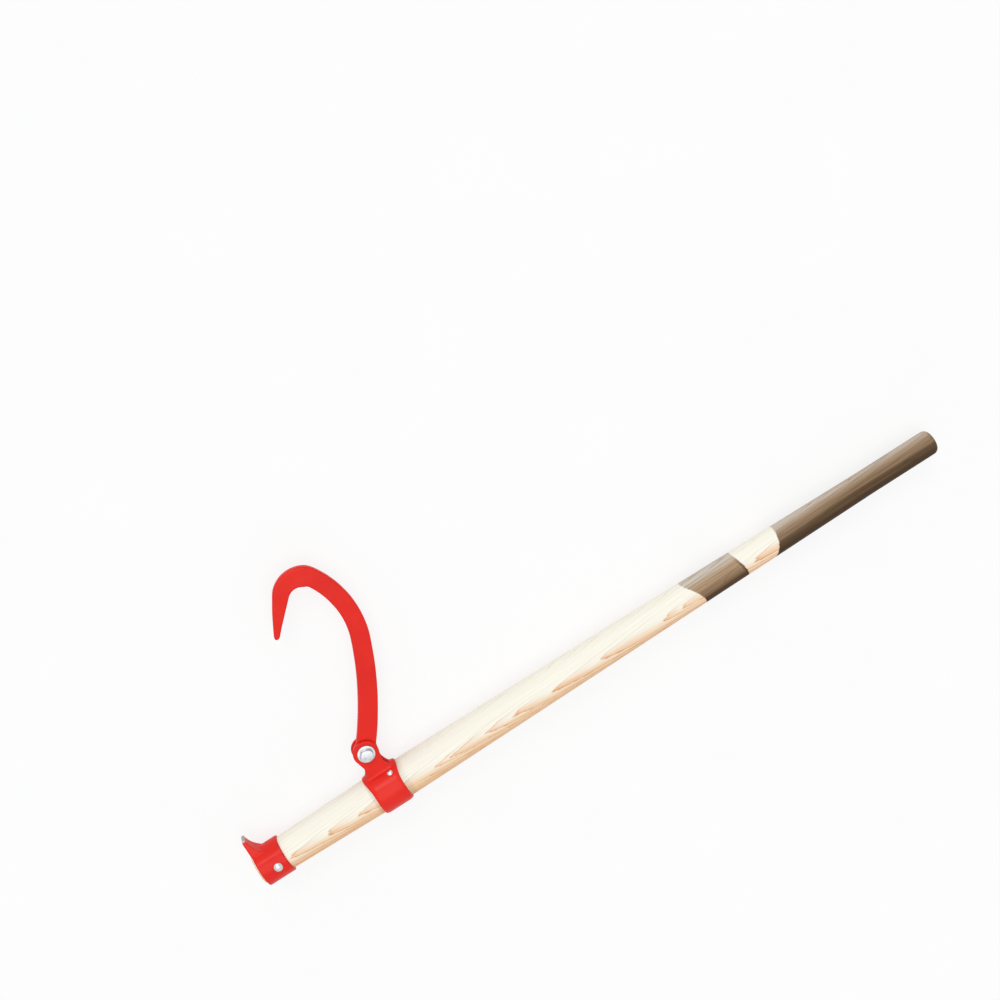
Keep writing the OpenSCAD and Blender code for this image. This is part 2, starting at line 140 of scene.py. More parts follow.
class Graph:
    """The nodes of one material."""

    def __init__(self, name):
        self.material = bpy.data.materials.new(name)
        self.material.use_nodes = True
        self.tree = self.material.node_tree
        self.tree.nodes.clear()
        self.place = self.node("ShaderNodeTexCoord").outputs["Object"]

    def feed(self, socket, value):
        """Links a socket to another one, or sets its value."""
        if isinstance(value, bpy.types.NodeSocket):
            self.tree.links.new(value, socket)
        else:
            socket.default_value = value

    def node(self, kind, settings=None, **inputs):
        """A new node with these settings and inputs."""
        made = self.tree.nodes.new(kind)
        for key, value in (settings or {}).items():
            setattr(made, key, value)
        for key, value in inputs.items():
            self.feed(made.inputs[key.replace("_", " ")], value)
        return made

    def math(self, operation, a, b=0.0, c=0.0, clamp=False):
        """One step of arithmetic."""
        made = self.tree.nodes.new("ShaderNodeMath")
        made.operation = operation
        made.use_clamp = clamp
        for socket, value in zip(made.inputs, (a, b, c)):
            self.feed(socket, value)
        return made.outputs[0]

    def times(self, a, b):
        return self.math("MULTIPLY", a, b)

    def scaled(self, vector, x, y, z):
        """A vector with each of its numbers multiplied."""
        made = self.node("ShaderNodeVectorMath", {"operation": "MULTIPLY"})
        self.feed(made.inputs[0], vector)
        made.inputs[1].default_value = (x, y, z)
        return made.outputs[0]

    def noise(self, vector, scale, detail=2.0, roughness=0.5):
        made = self.node("ShaderNodeTexNoise", None, Vector=vector, Scale=scale, Detail=detail, Roughness=roughness)
        return made.outputs["Fac"]

    def fibres(self, along, across, detail=2.0, roughness=0.5):
        """Noise drawn out along the handle, with so many waves in a metre along it and across it."""
        return self.noise(self.scaled(self.place, along, across, across), 1.0, detail, roughness)

    def ramp(self, value, *stops):
        """A colour that runs through stops of place and colour."""
        made = self.node("ShaderNodeValToRGB", None, Fac=value)
        band = made.color_ramp
        while len(band.elements) < len(stops):
            band.elements.new(1.0)
        for element, (place, colour) in zip(band.elements, stops):
            element.position = place
            element.color = colour
        return made.outputs["Color"]

    def span(self, value, low, high, to_low=0.0, to_high=1.0, smooth=False):
        """Maps a value from one span to another and keeps it within that."""
        made = self.node("ShaderNodeMapRange", {"interpolation_type": "SMOOTHSTEP" if smooth else "LINEAR"})
        for socket, number in zip(made.inputs, (value, low, high, to_low, to_high)):
            self.feed(socket, number)
        return made.outputs[0]

    def mix(self, share, a, b):
        """Colour a with a share of colour b."""
        made = self.node("ShaderNodeMix", {"data_type": "RGBA"})
        # The sockets of the node's colour mode
        self.feed(made.inputs[0], share)
        self.feed(made.inputs[6], a)
        self.feed(made.inputs[7], b)
        return made.outputs[2]

    def bump(self, height, strength, distance, normal=None):
        """A normal that follows a height, on top of another normal where one is given."""
        made = self.node("ShaderNodeBump", None, Strength=strength, Distance=distance, Height=height)
        if normal is not None:
            self.feed(made.inputs["Normal"], normal)
        return made.outputs["Normal"]

    def attribute(self, name):
        return self.node("ShaderNodeAttribute", {"attribute_name": name}).outputs["Fac"]

    def finish(self, **inputs):
        """Ends the material in a shader with these inputs."""
        shader = self.node("ShaderNodeBsdfPrincipled")
        for key, value in inputs.items():
            self.feed(shader.inputs[key.replace("_", " ")], value)
        out = self.node("ShaderNodeOutputMaterial")
        self.feed(out.inputs["Surface"], shader.outputs[0])
        return self.material


def grain_rings(g, x, y, z, slow):
    """How far a place lies above the grain's middle line, how far through a ring, and how strong that ring is."""
    quick = g.fibres(9, 400, 3.0, 0.6)
    wave = g.fibres(16, 130, 1.0)
    # Round the back, the middle line turns on with the surface
    turn = g.math("MULTIPLY_ADD", z, 0.9, g.times(y, -0.58))
    turn = g.math("MULTIPLY_ADD", g.span(z, 0.0, -0.010, smooth=True), turn, y)
    side = g.math("MULTIPLY_ADD", quick, 0.0016, turn)
    side = g.math("SUBTRACT", g.math("MULTIPLY_ADD", slow, 0.0060, side), GRAIN_LEVEL)
    # Rings run out in arrowheads along the handle: both arms of each bow away from the middle line
    bow = g.times(g.times(side, side), -GRAIN_BOW)
    bow = g.math("MULTIPLY_ADD", g.math("SUBTRACT", wave, 0.5), 0.050, bow)
    lean = g.math("ADD", g.math("MULTIPLY_ADD", quick, 0.024, x), g.math("MULTIPLY_ADD", z, 0.10, bow))
    rings, low, high = len(GRAIN_HEADS), GRAIN_HEADS[0], GRAIN_HEADS[-1]
    stops = [((head - low) / (high - low), (k / rings,) * 3 + (1.0,)) for k, head in enumerate(GRAIN_HEADS)]
    count = g.times(g.ramp(g.span(lean, low, high), *stops), rings)
    year = g.node("ShaderNodeTexWhiteNoise", {"noise_dimensions": "1D"}, W=g.math("FLOOR", count)).outputs["Value"]
    return side, g.math("FRACT", count), g.math("MULTIPLY_ADD", year, 0.35, 0.65)


def painted_shadow_bands(g, x, y, z, lines, pore):
    """Where a cast shadow is painted on the handle, and the colour of that painted shadow."""
    # The painted shadows' edges wander a little along the fibres
    edge_wobble = g.math("MULTIPLY_ADD", g.fibres(26, 420), 0.003, -0.0015)
    along = g.math("ADD", x, edge_wobble)
    square = g.times(y, y)

    def beyond(station, lean, bow):
        """How far a place lies past an edge that leans and bows round the handle."""
        edge = g.math("MULTIPLY_ADD", square, bow, g.math("MULTIPLY_ADD", y, lean, along))
        return g.math("SUBTRACT", edge, station)

    def past(edge):
        return g.span(edge, -SHADOW_SOFT, SHADOW_SOFT, smooth=True)

    first_end = beyond(*FIRST_TO)
    first = g.math("SUBTRACT", past(beyond(*FIRST_FROM)), past(first_end))
    second = past(beyond(*SECOND_FROM))
    streak = g.fibres(5, 480, 3.0, 0.65)
    dark = g.ramp(streak, (0.24, srgb("846648")), (0.5, srgb("A88A6C")), (0.76, srgb("C4A98A")))
    shade_tone = g.ramp(streak, (0.22, srgb("2A1B09")), (0.5, srgb("482F14")), (0.78, srgb("664A28")))
    sheen_tone = g.ramp(streak, (0.22, srgb("BDB0A0")), (0.5, srgb("D6CDC0")), (0.78, srgb("E4DDD4")))
    # Painted shade darkens it below and a painted sheen lightens it on the crown, and both fade out round the back
    front = g.span(z, 0.001, 0.012, 0.40, 1.0, smooth=True)
    shade_below = g.math("ADD", g.span(y, 0.009, 0.003, 0.0, 0.34, smooth=True),
                   g.span(y, 0.001, -0.012, 0.0, 0.66, smooth=True))
    dark = g.mix(g.times(shade_below, front), dark, shade_tone)
    # Painted shade, darkest along the underside
    dark = g.mix(g.times(g.span(y, -0.012, -0.021, 0.0, 0.6), front), dark, srgb("241A0E"))
    crown = g.times(g.span(y, 0.013, 0.026, smooth=True), g.span(z, -0.012, -0.003, 0.30, 1.0))
    dark = g.mix(crown, dark, sheen_tone)
    dark = g.mix(g.times(lines, 0.35), dark, srgb("5A4331"))
    # More painted shade: a dark rim at the first band's end, and darker over the second band below its crown
    edge_shade = g.times(g.span(first_end, -0.0055, -0.001, smooth=True), g.span(y, 0.021, 0.008, 0.0, 0.7))
    dim = g.math("ADD", g.span(y, 0.0195, 0.0115, 0.0, 0.43), g.span(y, 0.0068, 0.0042, 0.0, 0.29))
    added_shade = g.math("ADD", g.times(edge_shade, first), g.times(dim, second))
    dark = g.mix(added_shade, dark, srgb("3A2814"))
    dark = g.mix(g.times(pore, 0.6), dark, srgb("3E2C1E"))
    return g.math("ADD", first, second, clamp=True), dark


def sawn_ends(g, x, slow, pores):
    """Where the two sawn ends are, and their colour: rings round a pith outside the handle, and open pores."""
    toe_end = g.span(x, SAWN_DEPTH, 0.25 * SAWN_DEPTH)
    ends = g.math("ADD", toe_end, g.span(x, HANDLE_LENGTH - SAWN_DEPTH, HANDLE_LENGTH))
    pith = g.node("ShaderNodeVectorMath", {"operation": "DISTANCE"})
    g.feed(pith.inputs[0], g.scaled(g.place, 0, 1, 1))
    pith.inputs[1].default_value = PITH
    ring = g.math("FRACT", g.math("MULTIPLY_ADD", pith.outputs["Value"], RINGS_IN_METRE, g.times(slow, 1.5)))
    ring = g.span(g.math("ABSOLUTE", g.math("SUBTRACT", ring, 0.5)), 0.20, 0.02, 0.0, 0.60, smooth=True)
    # The butt's end is darker, to go with the painted shadow over the grip
    butt = g.span(x, GRIP_FROM, HANDLE_LENGTH)
    open_pores = g.mix(butt, srgb("A87F4C"), srgb("4A3622"))
    sawn = g.mix(ring, g.mix(butt, srgb("E3CA9F"), srgb("7A5E42")), open_pores)
    return ends, g.mix(g.span(pores, 0.52, 0.66, 0.0, 0.35), sawn, open_pores)


def wood_material():
    """Pale ash with arrowheads of grain, dark bands of painted cast shadow on the grip half and rings on its sawn
    ends.
    """
    g = Graph("ash_wood")
    x, y, z = g.node("ShaderNodeSeparateXYZ", None, Vector=g.place).outputs
    slow = g.fibres(3.2, 24)
    side, ring, year = grain_rings(g, x, y, z, slow)
    # The side towards the hook is pale and shows thin threads, the other side is warm and shows broad lines
    away = g.span(side, 0.0015, -0.0025, smooth=True)
    late = g.span(g.math("ABSOLUTE", side), 0.0, 0.02, 0.11, 0.34)
    late_wood = g.times(g.span(ring, late, 0.02, smooth=True), year)
    thread = g.times(late_wood, g.span(away, 1.0, 0.0))
    line = g.times(late_wood, away)
    fill = g.times(g.times(g.span(ring, 0.85, 0.05), year), g.span(side, 0.008, 0.0, smooth=True))
    # Fibres and open pores run along the handle
    fibre = g.fibres(5, 620, 3.0, 0.6)
    pores = g.fibres(34, 1500)
    patch = g.fibres(3, 30)
    pore = g.times(g.span(pores, 0.58, 0.68), g.math("MULTIPLY_ADD", line, 0.8, 0.12))
    colour = g.mix(g.times(away, g.span(patch, 0.35, 0.65, 0.55, 1.0)), srgb("F9F7EA"), srgb("FCE6C6"))
    heart = g.times(g.span(side, -0.004, -0.018, smooth=True), g.span(x, 0.30, 0.60, 0.85, 0.65))
    colour = g.mix(heart, colour, srgb("FAD0A2"))
    faint = g.times(g.span(side, 0.016, 0.003, 0.22, 1.0), g.span(slow, 0.35, 0.6, 0.95, 0.55))
    tan = g.mix(g.span(side, 0.012, 0.002), srgb("B9A878"), srgb("CC9A58"))
    colour = g.mix(g.times(thread, faint), colour, tan)
    colour = g.mix(g.times(fill, 0.85), colour, srgb("F1B682"))
    colour = g.mix(g.times(line, 0.95), colour, srgb("D2864A"))
    colour = g.mix(g.span(fibre, 0.35, 0.75, 0.0, 0.13), colour, srgb("D9AE80"))
    colour = g.mix(g.times(pore, g.math("MULTIPLY_ADD", away, 0.25, 0.12)), colour, srgb("A87444"))
    # Two bands of painted cast shadow darken the grip half
    shadow_share, dark = painted_shadow_bands(g, x, y, z, g.math("MAXIMUM", line, thread), pore)
    colour = g.mix(shadow_share, colour, dark)
    # Patchy painted shade on the wood where the steel meets it
    near = g.math("ADD", g.span(x, BAND_TO, BAND_TO + 7 * MM, 1.0, 0.0), g.span(x, RING_END + 8 * MM, RING_END))
    inside = g.span(x, BAND_FROM, BAND_FROM + MM)
    shade_by_steel = g.times(g.times(near, inside), g.span(patch, 0.3, 0.7, 0.05, 0.30))
    colour = g.mix(shade_by_steel, colour, srgb("8A6A4A"))
    ends, sawn = sawn_ends(g, x, slow, pores)
    colour = g.mix(ends, colour, sawn)
    height = g.math("ADD", g.times(fibre, 0.35), g.times(pore, -0.8))
    dents = g.noise(g.place, 55.0)
    normal = g.bump(height, 0.35, 0.00018, g.bump(dents, 0.10, 0.0015))
    rough = g.math("MULTIPLY_ADD", fibre, 0.16, 0.46)
    return g.finish(Base_Color=colour, Roughness=rough, Normal=normal, Specular_IOR_Level=0.12)


def paint_material():
    """Red enamel on forged steel, with painted shade on its edges, and rubbed through in places."""
    g = Graph("red_enamel")
    cloud = g.noise(g.place, 14.0, 3.0)
    grainy = g.noise(g.place, 260.0, 3.0, 0.6)
    chips = g.noise(g.place, 120.0, 4.0, 0.65)
    peel = g.noise(g.place, 750.0)
    forge = g.noise(g.place, 70.0, 2.0, 0.45)
    colour = g.ramp(cloud, (0.3, srgb("DF1C11")), (0.7, srgb("E92617")))
    edge = g.attribute("edge")
    rub = g.times(g.span(edge, 0.10, 0.34), g.span(grainy, 0.50, 0.62))
    bare = g.math("MULTIPLY", rub, g.span(chips, 0.56, 0.60), clamp=True)
    worn = g.math("ADD", g.attribute("worn"), g.times(chips, 0.9))
    bare = g.math("MAXIMUM", bare, g.span(worn, 1.0, 1.08))
    # Painted shade darkens the convex edges
    colour = g.mix(g.times(g.span(edge, 0.04, 0.22), 0.75), colour, srgb("A3130D"))
    colour = g.mix(bare, colour, srgb("B4B1AC"))
    height = g.math("MULTIPLY_ADD", bare, -0.5, g.times(peel, 0.10))
    normal = g.bump(height, 0.5, 0.00012, g.bump(forge, 0.10, 0.0012))
    rough = g.math("MULTIPLY_ADD", grainy, 0.14, 0.40)
    rough = g.math("MULTIPLY_ADD", bare, 0.12, rough)
    return g.finish(Base_Color=colour, Roughness=rough, Metallic=g.times(bare, 0.9), Normal=normal,
                    Specular_IOR_Level=0.15, Coat_Weight=0.18, Coat_Roughness=0.16)


def zinc_material():
    """Bright zinc plate with a faint crystal cloud and fine scratches."""
    g = Graph("zinc_plate")
    cloud = g.noise(g.place, 160.0, 3.0, 0.6)
    fine = g.fibres(2600, 700)
    colour = g.ramp(cloud, (0.3, srgb("B4B7BB")), (0.55, srgb("CDD0D3")), (0.8, srgb("D9DADA")))
    # Painted shade darkens the hollows
    colour = g.mix(g.span(g.attribute("edge"), -0.05, -0.30, 0.0, 0.55), colour, srgb("6C6A66"))
    rough = g.math("ADD", g.span(cloud, 0.3, 0.8, 0.24, 0.36), g.times(fine, 0.08))
    normal = g.bump(fine, 0.15, 0.00006)
    return g.finish(Base_Color=colour, Metallic=1.0, Roughness=rough, Normal=normal)


def nylon_material():
    """Natural nylon, slightly mottled."""
    g = Graph("natural_nylon")
    cloud = g.noise(g.place, 300.0, 3.0)
    colour = g.ramp(cloud, (0.3, srgb("DAD5C4")), (0.7, srgb("ECE8DB")))
    normal = g.bump(g.noise(g.place, 1400.0), 0.2, 0.00006)
    rough = g.span(cloud, 0.3, 0.7, 0.42, 0.55)
    return g.finish(Base_Color=colour, Roughness=rough, Normal=normal)


WOOD, PAINT, ZINC, NYLON = wood_material(), paint_material(), zinc_material(), nylon_material()


def new_object(name, mesh):
    """A new object in the scene."""
    made = bpy.data.objects.new(name, mesh)
    bpy.context.scene.collection.objects.link(made)
    return made


def mesh_from(name, verts, faces):
    """A new mesh from points and faces."""
    mesh = bpy.data.meshes.new(name)
    mesh.from_pydata([tuple(v) for v in verts], [], faces)
    mesh.update()
    return mesh


def applied(obj):
    """Puts the result of an object's modifiers into its mesh."""
    graph = bpy.context.evaluated_depsgraph_get()
    made = bpy.data.meshes.new_from_object(obj.evaluated_get(graph))
    old = obj.data
    obj.modifiers.clear()
    obj.data = made
    bpy.data.meshes.remove(old)
    return obj


def loft(rings):
    """Points and faces of a closed skin over rings of equal count."""
    count = len(rings[0])
    verts = [p for ring in rings for p in ring]
    faces = []
    for i in range(len(rings) - 1):
        for j in range(count):
            k = (j + 1) % count
            faces.append((i * count + j, i * count + k, (i + 1) * count + k, (i + 1) * count + j))
    faces.append(tuple(reversed(range(count))))
    faces.append(tuple(range((len(rings) - 1) * count, len(rings) * count)))
    return verts, faces


def turned(name, centre, line, segments):
    """A closed skin turned about an upright axis, from pairs of radius and height."""
    angles = [math.tau * k / segments for k in range(segments)]
    rings = [[centre + Vector((r * math.cos(a), r * math.sin(a), z)) for a in angles] for r, z in line]
    return new_object(name, mesh_from(name, *loft(rings)))


def rod(name, radius, start, end, segments=48):
    """A plain round cutter from start to end."""
    axis = Vector(end) - Vector(start)
    turn = axis.to_track_quat("Z", "Y")
    angles = [math.tau * k / segments for k in range(segments)]
    rings = [[Vector(start) + turn @ Vector((radius * math.cos(a), radius * math.sin(a), z)) for a in angles]
             for z in (0.0, axis.length)]
    return new_object(name, mesh_from(name, *loft(rings)))


def combine(obj, operation, *others):
    """Joins the others to an object or cuts them out of it, and removes them."""
    for other in others:
        step = obj.modifiers.new("step", "BOOLEAN")
        step.operation = operation
        step.solver = "EXACT"
        step.object = other
    applied(obj)
    for other in others:
        bpy.data.objects.remove(other)
    return obj


def welded_copy(name, node):
    """A new object with a node's shape, its points joined and its flat faces made whole."""
    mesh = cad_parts[node].data.copy()
    mesh.materials.clear()
    made = new_object(name, mesh)
    work = bmesh.new()
    work.from_mesh(mesh)
    bmesh.ops.remove_doubles(work, verts=work.verts, dist=WELD_REACH)
    bmesh.ops.dissolve_limit(work, angle_limit=math.radians(FLAT_TURN), verts=work.verts, edges=work.edges)
    bmesh.ops.recalc_face_normals(work, faces=work.faces)
    work.to_mesh(mesh)
    work.free()
    if "custom_normal" in mesh.attributes:
        mesh.attributes.remove(mesh.attributes["custom_normal"])
    return made


def softened(obj, voxel, rounds):
    """Rounds an object's edges by an even skin of small faces."""
    skin = obj.modifiers.new("skin", "REMESH")
    skin.mode = "VOXEL"
    skin.voxel_size = voxel
    ease = obj.modifiers.new("ease", "SMOOTH")
    ease.factor = 0.5
    ease.iterations = rounds
    return applied(obj)


def bevelled(obj, width, angle=30, segments=3):
    """Breaks an object's sharp edges."""
    edge = obj.modifiers.new("edge", "BEVEL")
    edge.width = width
    edge.segments = segments
    edge.limit_method = "ANGLE"
    edge.angle_limit = math.radians(angle)
    return applied(obj)


def ripple(obj, scale, depth, seed):
    """Sinks an object's points along their normals by a slow noise, as forging leaves them."""
    mesh = obj.data
    moves = []
    for v in mesh.vertices:
        share = 0.5 + 0.5 * noise.noise(v.co * scale + Vector((seed, 0, 0)))
        moves.append(v.co - v.normal * (share * depth))
    for v, co in zip(mesh.vertices, moves):
        v.co = co
    mesh.update()


def mark_edges(obj):
    """Stores how far each point stands out from its neighbours, for wear and for painted shade."""
    mesh = obj.data
    count = len(mesh.vertices)
    co = np.empty(count * 3)
    mesh.vertices.foreach_get("co", co)
    co = co.reshape(-1, 3)
    normal = np.empty(count * 3)
    mesh.vertices.foreach_get("normal", normal)
    normal = normal.reshape(-1, 3)
    ends = np.empty(len(mesh.edges) * 2, int)
    mesh.edges.foreach_get("vertices", ends)
    a, b = ends.reshape(-1, 2).T
    step = co[b] - co[a]
    step /= np.maximum(np.linalg.norm(step, axis=1, keepdims=True), 1e-9)
    total = np.bincount(a, minlength=count) + np.bincount(b, minlength=count)
    total = np.maximum(total, 1)
    bulge = np.bincount(a, -(normal[a] * step).sum(1), count) + np.bincount(b, (normal[b] * step).sum(1), count)
    bulge /= total
    for _ in range(3):
        around = np.bincount(a, bulge[b], count) + np.bincount(b, bulge[a], count)
        bulge = 0.5 * bulge + 0.5 * around / total
    stored = mesh.attributes.new("edge", "FLOAT", "POINT")
    stored.data.foreach_set("value", bulge.astype(np.float32))


def mark_worn(obj, start, end, reach):
    """Stores 1 on a line and 0 at its reach, where paint is worn off."""
    line = end - start
    values = []
    for v in obj.data.vertices:
        share = (v.co - start).dot(line) / line.length_squared if line.length else 0.0
        away = (v.co - start - line * max(0.0, min(1.0, share))).length
        values.append(max(0.0, 1.0 - away / reach))
    stored = obj.data.attributes.new("worn", "FLOAT", "POINT")
    stored.data.foreach_set("value", values)


def dress(obj, material, body, slot, *nodes, smooth=40):
    """Gives a piece its material, its body and the nodes that it stands for; its slot is not used."""
    obj.data.materials.clear()
    obj.data.materials.append(material)
    for face in obj.data.polygons:
        face.use_smooth = True
        face.material_index = 0
    obj.data.set_sharp_from_angle(angle=math.radians(smooth))
    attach(obj, body)
    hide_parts(*nodes)
    return obj


def handle_radius(x):
    """The handle's radius past its toe, at a station."""
    if x <= BAND_FROM:
        return NECK_R + (SEAT_R - NECK_R) * (x - RING_END) / (BAND_FROM - RING_END)
    if x <= BAND_TO:
        return SEAT_R
    if x <= GRIP_FROM:
        u = (x - BAND_TO) / (GRIP_FROM - BAND_TO)
        return SEAT_R + (GRIP_R - SEAT_R) * u + TAPER_SWELL * 4 * u * (1 - u)
    return GRIP_R


def make_handle():
    """The turned handle, with the holes for its rivet and screws."""
    segments, butt_steps = 128, 12
    line = [(0.0, 0.35 * TOE_R), (0.0, TOE_R - 1.25 * TOE_CHAMFER), (0.0, TOE_R - TOE_CHAMFER),
            (0.12 * TOE_CHAMFER, TOE_R - 0.82 * TOE_CHAMFER), (0.85 * TOE_CHAMFER, TOE_R - 0.10 * TOE_CHAMFER),
            (TOE_CHAMFER * 1.1, TOE_R), (RING_END - 0.2 * MM, TOE_R), (RING_END, TOE_R),
            (RING_END, NECK_R - 0.5 * MM), (RING_END + 0.5 * MM, NECK_R)]
    for start, end, count in ((RING_END + 2 * MM, BAND_FROM, 24), (BAND_FROM + 6 * MM, BAND_TO, 8),
                              (BAND_TO + 4 * MM, HANDLE_LENGTH - BUTT_ROUND, 150)):
        line += [(x, handle_radius(x)) for x in np.linspace(start, end, count)]
    for k in range(1, butt_steps + 1):
        a = math.radians(90 * k / butt_steps)
        line.append((HANDLE_LENGTH - BUTT_ROUND * (1 - math.sin(a)), GRIP_R - BUTT_ROUND * (1 - math.cos(a))))
    line += [(HANDLE_LENGTH, 0.3 * GRIP_R)]
    angles = [math.tau * k / segments for k in range(segments)]
    rings = [[Vector((x, r * math.cos(a), r * math.sin(a))) for a in angles] for x, r in line]
    handle = new_object("handle_turned", mesh_from("handle_turned", *loft(rings)))
    cutters = [rod("rivet_way", RIVET_HOLE_R, (RIVET_X, 0, -2 * TOE_R), (RIVET_X, 0, 2 * TOE_R))]
    for side in (1, -1):
        a = math.radians(SCREW_ANGLE)
        out = Vector((0, math.cos(a), side * math.sin(a)))
        foot = Vector((SCREW_X, 0, 0)) + out * (BAND_RO - SCREW_LENGTH - MM)
        cutters.append(rod("screw_way", SCREW_HOLE_R, foot, foot + out * 2 * SCREW_LENGTH))
    combine(handle, "DIFFERENCE", *cutters)
    return dress(handle, WOOD, "handle_body", "handle_wood", "handle", smooth=35)


def hook_spine(step):
    """Places along the hook's spine, with heading and length so far."""
    place, heading, along = Vector((PIVOT.x, PIVOT.y)), math.radians(HOOK_LEAN), 0.0
    out = []
    for radius, turn in HOOK_ARCS:
        turn = math.radians(turn)
        length = radius * turn
        count = max(4, round(length / step))
        for k in range(count + 1):
            t = turn * k / count
            ahead = Vector((math.sin(heading + t) - math.sin(heading), math.cos(heading) - math.cos(heading + t)))
            out.append((place + radius * ahead, heading + t, along + length * k / count))
        place, heading, along = out.pop()
    out.append((place, heading, along))
    return out


def eased(start, end, u):
    """A soft step from start to end as u goes from 0 to 1."""
    return start + (end - start) * u * u * (3 - 2 * u)


def bar_size(along):
    """Width and thickness of the bar at a length along its spine."""
    lengths = [math.radians(turn) * radius for radius, turn in HOOK_ARCS]
    total = sum(lengths)
    bend = lengths[0] + lengths[1]
    widest = bend + WIDEST_SHARE * lengths[2]
    if along < bend:
        return eased(SHANK_W, SHOULDER_W, along / bend), BAR_T
    if along < widest:
        return eased(SHOULDER_W, BEND_W, (along - bend) / (widest - bend)), BAR_T
    v = (along - widest) / (total - widest)
    return BEND_W + (POINT_W - BEND_W) * v ** NARROW_POWER, BAR_T + (POINT_T - BAR_T) * v ** THIN_POWER


def bar_ring(place, heading, width, thick, corner=6):
    """A rounded rectangle across the spine."""
    r = min(BAR_EDGE, 0.45 * width, 0.45 * thick)
    ring = []
    for q in range(4):
        for k in range(corner + 1):
            a = math.radians(90 * (q + k / corner))
            across = (1 if q in (0, 3) else -1) * (width / 2 - r) + r * math.cos(a)
            up = (1 if q < 2 else -1) * (thick / 2 - r) + r * math.sin(a)
            ring.append(Vector((place.x + math.sin(heading) * across, place.y - math.cos(heading) * across, up)))
    return ring


def make_hook():
    """The forged hook: a bar along four arcs, drawn out to a point, grown into its eye."""
    spine, nose_steps = hook_spine(SPINE_STEP), 8
    rings = [bar_ring(place, heading, *bar_size(along)) for place, heading, along in spine]
    place, heading, along = spine[-1]
    ahead = Vector((math.cos(heading), math.sin(heading)))
    for k in range(1, nose_steps + 1):
        a = math.radians(NOSE_TURN * k / nose_steps)
        rings.append(bar_ring(place + ahead * NOSE_LENGTH * math.sin(a), heading, POINT_W * math.cos(a),
                              POINT_T * math.cos(a)))
    hook = new_object("hook_forged", mesh_from("hook_forged", *loft(rings)))
    half = EYE_T / 2
    eye = turned("eye", PIVOT, [(EYE_R - EYE_CHAMFER, -half), (EYE_R, -half + EYE_CHAMFER),
                                (EYE_R, half - EYE_CHAMFER), (EYE_R - EYE_CHAMFER, half)], 96)
    combine(hook, "UNION", eye)
    up = Vector((0, 0, EYE_T))
    combine(hook, "DIFFERENCE", rod("bore", BORE_R, PIVOT - up, PIVOT + up, 96))
    softened(hook, HOOK_SKIN, HOOK_ROUNDS)
    for waves in HOOK_RIPPLES:
        ripple(hook, *waves)
    mark_edges(hook)
    tip = (place + ahead * NOSE_LENGTH).to_3d()
    mark_worn(hook, tip, tip, TIP_WEAR)
    return dress(hook, PAINT, "hook_body", "red_paint", "hook", smooth=60)


def round_rims(clasp):
    """Rolls the outer edges of the clasp band's two rims over, inwards only. Points past its skin are the ears'."""
    skin = BAND_RO + 0.05 * MM
    spread, rise = CROWN_HALF - BAND_HALF, BAND_RO - FLARE_START
    flare = (spread ** 2 + rise ** 2) / (2 * spread)
    for v in clasp.data.vertices:
        up = min(max(v.co.y - FLARE_START, 0.0), rise)
        half = BAND_HALF + flare - math.sqrt(flare ** 2 - up ** 2)
        off = v.co.x - PIVOT.x
        radius = math.hypot(v.co.y, v.co.z)
        inward = min(max(1 - (half - abs(off)) / RIM_LENGTH, 0.0), 1.0)
        most = BAND_RO - RIM_DROP * (1 - math.sqrt(1 - inward ** 2))
        if most < radius < skin:
            v.co = Vector((v.co.x, v.co.y * most / radius, v.co.z * most / radius))
    clasp.data.update()


def make_steel(name, node, worn_line=None, shaped=None):
    """A painted steel piece from its CAD shape. A fine skin rounds its edges, and a coarser one keeps them."""
    piece = softened(welded_copy(name, node), FINE_SKIN, FINE_ROUNDS)
    if shaped:
        shaped(piece)
    softened(piece, STEEL_SKIN, STEEL_ROUNDS)
    ripple(piece, *STEEL_RIPPLE)
    mark_edges(piece)
    if worn_line:
        mark_worn(piece, *worn_line, LIP_WEAR)
    return dress(piece, PAINT, "handle_body", "red_paint", node, smooth=60)


def make_fastener(name, node, material, slot, width, grown=None):
    """A small piece from its CAD shape with edges broken to a width, and with a grown end where one is given."""
    piece = bevelled(welded_copy(name, node), width)
    if grown:
        grown(piece)
    mark_edges(piece)
    return dress(piece, material, "handle_body", slot, node, smooth=32)


def cut_thread(bolt):
    """Puts a real thread on the bolt's end, under the nut and past it."""
    join = THREAD_TOP + 2 * MM
    low = PIVOT + Vector((0, 0, BOLT_END - 5 * MM))
    combine(bolt, "DIFFERENCE", rod("thread_room", 2 * BOLT_R, low, PIVOT + Vector((0, 0, THREAD_TOP))))
    segments, rows = 72, 120
    # The flanks' slope, and how much of a tooth's height is cut off its crest
    slope, cut = 2.6, 0.15
    crest = BOLT_R - 0.03 * MM
    rings = []
    for i in range(rows + 1):
        z = BOLT_END + (THREAD_TOP - BOLT_END) * i / rows
        most = min(crest, BOLT_R - BOLT_CHAMFER + (z - BOLT_END))
        ring = []
        for k in range(segments):
            a = math.tau * k / segments
            phase = (z / THREAD_PITCH - k / segments) % 1.0
            tooth = min(1.0, max(0.0, slope * abs(phase - 0.5) - cut))
            r = min(most, crest - THREAD_DEPTH * tooth)
            ring.append(PIVOT + Vector((r * math.cos(a), r * math.sin(a), z)))
        rings.append(ring)
    plain = BOLT_R - THREAD_DEPTH
    angles = [math.tau * k / segments for k in range(segments)]
    rings.append([PIVOT + Vector((plain * math.cos(a), plain * math.sin(a), join)) for a in angles])
    combine(bolt, "UNION", new_object("thread", mesh_from("thread", *loft(rings))))


